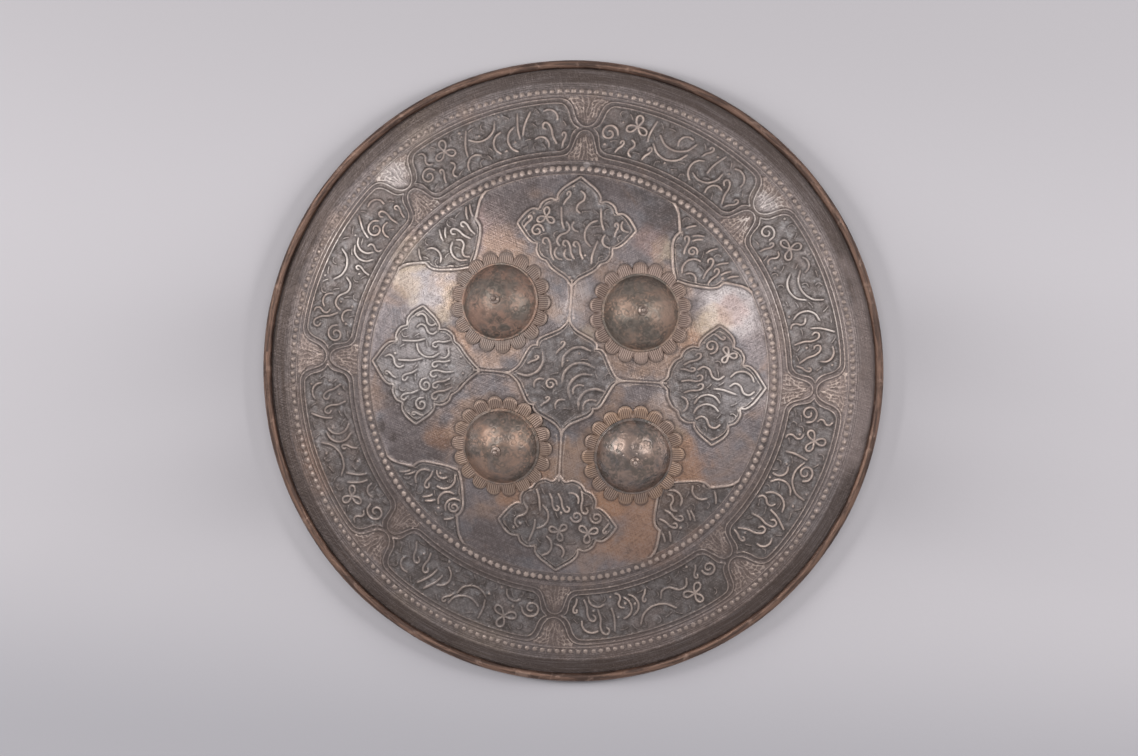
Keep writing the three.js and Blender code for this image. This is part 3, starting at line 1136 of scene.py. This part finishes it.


# patina tints and painted highlights: colour, strength, and the (x, y, radius) in mm where it lies
FIELD_TINTS_AND_HIGHLIGHTS = [
    # painted highlights: the PALE spots on the next two lines lie where the lamps' reflections fall on the
    # field
    (PALE, 0.42, ((-104, 60, 28), (74, -14, 18))),
    (PALE, 0.62, ((108, 62, 30),)),
    (PALE, 0.3, ((0, 44, 16), (8, 60, 12))),
    (GOLD, 0.5, ((-84, 84, 22), (-116, 78, 16), (-80, 50, 14), (96, 44, 16), (62, 92, 12))),
    (RUST, 0.6, ((22, -66, 14), (24, -88, 12), (88, -74, 16), (-74, 22, 12), (-84, -52, 14), (84, 30, 10))),
    (GOLD, 0.4, ((34, -84, 10), (78, -36, 9), (-16, -36, 10), (14, 30, 9), (-88, 36, 10), (-118, 52, 14))),
    (RUST, 0.3, ((150, -150, 60), (60, -205, 60), (-180, -60, 40))),
    (PINK, 0.5, ((-62, 96, 24), (52, 96, 16), (112, 56, 14))),
    (SMOKE, 0.75, ((-48, 122, 24), (-34, 112, 20))),
    (COPPER, 0.7, ((-48, 48, 50), (49, 47, 50), (50, -52, 56), (-42, -52, 50), (4, -62, 24))),
    (EMBER, 0.6, ((60, -96, 40), (-20, -86, 24), (84, -60, 28), (-172, -70, 26), (30, -84, 24))),
    (SOOT_AND_SHADE, 0.6, ((66, 122, 30), (-207, -20, 50), (-130, -46, 8), (-120, -52, 5), (-112, -18, 22))),
    # painted glints: the GOLD spots at (-131, 131) and (131, 131) stand for the lamps' reflections on the
    # bells' joints; the other three tint the outer band
    (GOLD, 0.3, ((-120, 168, 26), (-60, -196, 30), (-110, -176, 24), (-131, 131, 18), (131, 131, 18))),
    # painted glints: tiny bright spots at the inner row of beads in the north
    (PALE, 0.9, ((3, 147, 2.4), (12, 144, 1.8), (19, 141, 1.4))),
]


# (x, y, radius) in mm where the crests stay dull
MUTED = [(70, -110, 110), (-60, -150, 90), (0, 104, 40)]
# (x, y, radius) in mm of painted highlights: where the sheet is painted palest, and where the crests get
# painted glints
SHEENS = [(-104, 2, 34), (-131, 129, 14), (116, 2, 24), (131, 129, 12)]
GLINTS = [
    (-105, 6, 44), (-92, 92, 34), (-131, 128, 22), (131, 128, 26), (118, -2, 36), (164, 62, 34),
    (-160, 70, 34),
]
# for each direction of scratches: scale, and degrees turned
SCRATCHES = [((1250, 130, 200), 18), ((1150, 120, 200), 74), ((1200, 140, 200), 131)]


def scratches(n):
    """Fine fibrous scratches in three directions."""
    first, second, third = [n.noise(1, 2, 0.6, n.stretched(scale, turn)) for scale, turn in SCRATCHES]
    return n.times(n.plus(n.plus(first, second), third), 0.333)


def field_color(n, broad, clouds, brushed, reach, outer):
    """The patinated sheet before any ornament, with painted highlights and glints laid on it, and the plain
    outer band darker.
    """
    color = n.mix(n.spread(broad, 0.38, 0.62), SMOKE, LILAC)
    color = n.mix(n.spread(clouds, 0.46, 0.66, 0, 0.5), color, SLATE)
    color = n.mix(n.spread(n.noise(22, 5, 0.6, distortion=1.0), 0.52, 0.7, 0, 0.5), color, COPPER)
    for tint, strength, spots in FIELD_TINTS_AND_HIGHLIGHTS:
        color = n.tinted(color, tint, strength, spots)
    color = n.mix(n.times(n.spread(reach, 0.138, 0.141), 0.55), color, (0.192, 0.152, 0.136))
    color = n.mix(n.times(outer, 0.85), color, (0.070, 0.051, 0.043))
    # painted highlight: the plain outer band lighter on the right, where the right lamp's reflection falls
    color = n.tinted(color, (0.34, 0.27, 0.25), 0.3, ((196, 20, 75), (190, -30, 50)))
    return n.mix(n.times(n.spread(brushed, 0.45, 0.66, 0, 0.34), outer), color, LILAC)


def ground_color(n, blotch, clouds):
    """The dark matted ground inside the cartouches."""
    color = n.mix(n.spread(blotch, 0.38, 0.60), (0.118, 0.102, 0.095), (0.205, 0.186, 0.180))
    color = n.mix(n.spread(n.noise(190, 4, 0.6), 0.55, 0.68, 0, 0.7), color, (0.330, 0.315, 0.312))
    color = n.mix(n.spread(clouds, 0.5, 0.68, 0, 0.7), color, (0.235, 0.185, 0.165))
    return n.tinted(color, (0.100, 0.084, 0.074), 0.35, ((110, -120, 100),))


def crests_rubbed_and_glinting(n, color, crest, fine, blotch):
    """The colour with its crests rubbed bright, unevenly over the shield, and painted glints laid over the
    crests at GLINTS.
    """
    rubbed = n.spread(n.plus(crest, n.times(n.math("SUBTRACT", fine, 0.5), 0.6)), 0.3, 0.85)
    fresh = n.spread(n.noise(9, 3, 0.5), 0.36, 0.6, 0.45, 0.9)
    for x, y, size in MUTED:
        fresh = n.times(fresh, n.spread(n.spot(x, y, size, 0.8), 0.0, 1.0, 1.0, 0.62))
    worn_and_glinting = n.mix(n.spread(blotch, 0.38, 0.62), TAN, (0.44, 0.345, 0.30))
    # painted glints: the crests made near-white where the lamps' reflections fall
    worn_and_glinting = n.tinted(worn_and_glinting, (0.95, 0.85, 0.78), 0.85, GLINTS, 0.8)
    return n.mix(n.times(rubbed, fresh), color, worn_and_glinting)


def bead_color(n, reach):
    """The beads are duller in the outer row."""
    color = n.mix(n.spread(n.noise(16, 3, 0.5), 0.42, 0.66), BEAD, (0.41, 0.320, 0.272))
    return n.mix(n.spread(reach, 0.17, 0.18, 0, 0.62), color, (0.285, 0.225, 0.195))


def rim_color(n, around, blotch):
    color = n.noise(1, 5, 0.6, n.scaled(around, (240, 420, 1)))
    color = n.mix(n.spread(color, 0.42, 0.58), (0.225, 0.138, 0.102), (0.098, 0.064, 0.052))
    return n.mix(n.spread(blotch, 0.56, 0.7, 0, 0.6), color, (0.37, 0.25, 0.195))


def underside_color(n, broad, blotch, fibre, crest):
    """Dull, with the chased outlines a little lighter; crest is below 0 along them."""
    color = n.mix(n.spread(broad, 0.3, 0.7), (0.215, 0.165, 0.130), (0.165, 0.130, 0.108))
    color = n.mix(n.spread(blotch, 0.4, 0.75, 0, 0.4), color, (0.120, 0.092, 0.076))
    color = n.mix(n.spread(fibre, 0.47, 0.58, 0, 0.5), color, (0.100, 0.078, 0.066))
    return n.mix(n.spread(crest, -0.8, -0.15, 0.55, 0), color, (0.330, 0.250, 0.195))


def shell_material():
    n = Nodes("patinated_sheet")
    crest, ground, fur, groove, bead, roll, behind = [n.attribute(name) for name in SHELL_MASKS]
    around, reach = n.polar()
    broad = n.noise(14, 5, 0.6)
    clouds = n.noise(31, 6, 0.65, distortion=0.6)
    blotch = n.noise(95, 5, 0.6, distortion=0.5)
    fine = n.noise(330, 4, 0.6)
    fibre = scratches(n)
    brushed = n.noise(1, 4, 0.7, n.scaled(around, (160, 1300, 1)))
    outer = n.spread(reach, 0.2035, 0.2055)

    color = field_color(n, broad, clouds, brushed, reach, outer)
    color = n.mix(n.times(ground, 0.8), color, ground_color(n, blotch, clouds))
    color = n.mix(n.times(fur, 0.7), color, (0.190, 0.142, 0.122))
    # painted highlights: the sheet, the grounds too, made paler where the lamps' reflections fall
    color = n.tinted(color, (0.42, 0.39, 0.39), 0.45, SHEENS, 0.8)
    even = n.math("SUBTRACT", 1.0, n.times(outer, 0.75))
    color = n.mix(n.times(n.spread(fibre, 0.51, 0.58, 0, 0.34), even), color, SOOT_AND_SHADE)
    color = n.mix(n.times(n.spread(fibre, 0.42, 0.49, 0.26, 0), even), color, (0.43, 0.36, 0.34))
    # the grooves' dark patina, and painted shadow where the rosettes' edges overhang the sheet, which shares
    # the groove mask
    color = n.mix(n.times(groove, 0.6), color, SOOT_AND_SHADE)
    color = crests_rubbed_and_glinting(n, color, crest, fine, blotch)
    color = n.mix(n.times(bead, 0.9), color, bead_color(n, reach))
    color = n.mix(roll, color, rim_color(n, around, blotch))
    color = n.mix(behind, color, underside_color(n, broad, blotch, fibre, crest))

    rough = n.plus(n.spread(clouds, 0.35, 0.7, 0.31, 0.43), n.times(n.math("SUBTRACT", fine, 0.5), 0.2))
    rough = n.plus(rough, n.times(ground, 0.06), clamp=True)
    height = n.plus(n.times(fibre, 2.2), n.times(fine, 0.35))
    height = n.plus(height, n.times(n.times(blotch, ground), 0.6))
    height = n.plus(height, n.times(n.times(brushed, outer), 0.5))
    height = n.plus(height, n.times(n.times(n.cells(80), behind), 2.2))
    return n.finish(color, rough, n.bump(height, 0.0004, 0.8))


def rosette_material(tint):
    n = Nodes("rosette_metal")
    groove = n.attribute("groove")
    fine = n.noise(330, 4, 0.6)
    clouds = n.noise(60, 5, 0.6)
    color = n.mix(n.spread(clouds, 0.36, 0.64), (0.30, 0.215, 0.175), tint)
    color = n.mix(n.spread(n.noise(120, 4), 0.5, 0.7, 0, 0.5), color, (0.22, 0.15, 0.115))
    color = n.mix(n.spread(groove, 0.05, 0.35, 0.26, 0), color, (0.52, 0.41, 0.345))
    color = n.mix(n.spread(groove, 0.2, 0.95, 0, 0.72), color, (0.10, 0.068, 0.055))
    rough = n.spread(clouds, 0.3, 0.7, 0.36, 0.5)
    return n.finish(color, rough, n.bump(fine, 0.0003, 0.7))


def boss_material(dark, light, shine):
    n = Nodes("boss_metal")
    groove = n.attribute("groove")
    spots = n.cells(215)
    clouds = n.noise(48, 5, 0.65, distortion=0.8)
    fine = n.noise(330, 5, 0.65)
    patch = n.spread(n.noise(60, 3, 0.5), 0.38, 0.56, 0.2, 1)
    mottle = n.times(n.spread(n.noise(235, 3, 0.5, distortion=1.4), 0.44, 0.56), patch)
    ring = n.times(n.spread(spots, 0.16, 0.34), n.spread(spots, 0.38, 0.56, 1, 0))
    color = n.mix(n.spread(clouds, 0.40, 0.60), dark, light)
    color = n.mix(n.times(mottle, 0.62), color, (0.135, 0.122, 0.105))
    color = n.mix(n.times(n.times(ring, patch), 0.45), color, (0.120, 0.105, 0.092))
    color = n.mix(n.times(groove, 0.3), color, SOOT_AND_SHADE)
    rough = n.spread(clouds, 0.3, 0.7, shine, shine + 0.14)
    return n.finish(color, rough, n.bump(n.plus(n.times(fine, 0.6), n.times(ring, -0.8)), 0.0002, 0.6))


def rivet_material():
    n = Nodes("rivet_metal")
    clouds = n.noise(190, 5, 0.6)
    color = n.mix(n.spread(clouds, 0.38, 0.62), (0.24, 0.18, 0.15), (0.46, 0.37, 0.32))
    return n.finish(color, n.spread(clouds, 0.3, 0.7, 0.28, 0.42), n.bump(n.noise(700, 4), 0.0002, 0.6))


def floor_material():
    """Pale, and a little darker both towards the foot of the picture and beyond the shield, as painted shade
    where the light falls off.
    """
    n = Nodes("pale_floor", metallic=0.0)
    along = n.new("ShaderNodeSeparateXYZ")
    n.feed(along.inputs[0], n.coords)
    near = n.spread(along.outputs["Y"], -0.29, -0.13, 1.0, 0.0)
    far = n.spread(along.outputs["Y"], 0.06, 0.30)
    color = n.mix(n.spread(n.noise(3, 3, 0.5), 0.3, 0.7), (0.224, 0.213, 0.2225), (0.220, 0.209, 0.2185))
    color = n.mix(near, color, (0.163, 0.158, 0.169))
    color = n.mix(far, color, (0.190, 0.181, 0.189))
    return n.finish(color, 0.9, n.bump(n.noise(300, 3), 0.0002, 0.2))
# ---- building
def add_piece(piece, node):
    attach(piece, "root")
    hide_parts(node)


add_piece(shell_piece(shell_material()), "shell")
ROSETTE_TINTS = {
    "upper_left": (0.315, 0.262, 0.235), "upper_right": (0.36, 0.268, 0.232),
    "lower_right": (0.42, 0.275, 0.190), "lower_left": (0.38, 0.270, 0.205),
}
# the two colours of each boss's patches, and its lowest roughness
BOSS_TONES = {
    "upper_left": ((0.235, 0.190, 0.160), (0.370, 0.240, 0.185), 0.38),
    "upper_right": ((0.230, 0.190, 0.160), (0.350, 0.245, 0.190), 0.38),
    "lower_right": ((0.190, 0.165, 0.155), (0.350, 0.255, 0.210), 0.23),
    "lower_left": ((0.260, 0.205, 0.175), (0.400, 0.265, 0.200), 0.34),
}
rivet_look = rivet_material()
for name, bearing, reach, petals in BOSSES:
    rosette = rosette_piece(name, bearing, reach, petals, rosette_material(ROSETTE_TINTS[name]))
    add_piece(rosette, f"rosette_{name}")
    add_piece(boss_piece(name, bearing, reach, boss_material(*BOSS_TONES[name])), f"boss_{name}")
    add_piece(rivet_piece(name, bearing, reach, rivet_look), f"rivet_{name}")


# ---- floor, lights and camera
def floor_piece():
    mesh = bpy.data.meshes.new("floor")
    half = 6.0
    corners = [(-half, -half, 0), (half, -half, 0), (half, half, 0), (-half, half, 0)]
    mesh.from_pydata(corners, [], [(0, 1, 2, 3)])
    mesh.materials.append(floor_material())
    floor = bpy.data.objects.new("floor", mesh)
    bpy.context.scene.collection.objects.link(floor)
    return floor


def soft_light(name, bearing, elevation, distance, size, power, only=None):
    """A square light aimed at the shield from a bearing and an elevation; it may light only one thing."""
    data = bpy.data.lights.new(name, "AREA")
    data.size = size
    data.energy = power
    light = bpy.data.objects.new(name, data)
    b, e = math.radians(bearing), math.radians(elevation)
    place = Vector((math.sin(b) * math.cos(e), math.cos(b) * math.cos(e), math.sin(e))) * distance
    light.location = place
    light.rotation_euler = place.to_track_quat("Z", "Y").to_euler()
    bpy.context.scene.collection.objects.link(light)
    if only:
        receivers = bpy.data.collections.new(f"{name}_lights")
        receivers.objects.link(only)
        light.light_linking.receiver_collection = receivers


def camera():
    """Above the shield, a little off its axis, and turned so that the shield's top leans clockwise."""
    roll, tilt, heading = math.radians(4.0), math.radians(5.6), math.radians(36)
    distance = 2.2
    right = Vector((math.cos(roll), math.sin(roll), 0))
    up = Vector((-math.sin(roll), math.cos(roll), 0))
    back = (math.cos(tilt) * Vector((0, 0, 1))
            + math.sin(tilt) * (math.cos(heading) * right + math.sin(heading) * up)).normalized()
    right = (right - right.dot(back) * back).normalized()
    up = back.cross(right)
    aim = Vector((0, 0, 0.003)) - 0.0013 * right - 0.0038 * up
    data = bpy.data.cameras.new("camera")
    data.sensor_width = 36
    data.lens = 98.4
    data.clip_end = 20
    eye = bpy.data.objects.new("camera", data)
    turn = Matrix((right, up, back)).transposed()
    eye.matrix_world = Matrix.Translation(aim + distance * back) @ turn.to_4x4()
    bpy.context.scene.collection.objects.link(eye)
    bpy.context.scene.camera = eye


floor = floor_piece()
soft_light("left_soft", 290, 52, 1.7, 0.75, 8.0)
soft_light("right_soft", 69, 49, 1.7, 0.75, 6.2)
soft_light("left_low", 274, 12.5, 4.0, 1.15, 590, floor)
soft_light("right_low", 76, 12.5, 4.0, 1.15, 590, floor)
world = bpy.data.worlds.new("studio")
world.use_nodes = True
backdrop = world.node_tree.nodes["Background"].inputs
backdrop["Color"].default_value = (0.93, 0.92, 0.95, 1)
backdrop["Strength"].default_value = 0.66
bpy.context.scene.world = world
bpy.context.scene.view_settings.view_transform = "Standard"
camera()
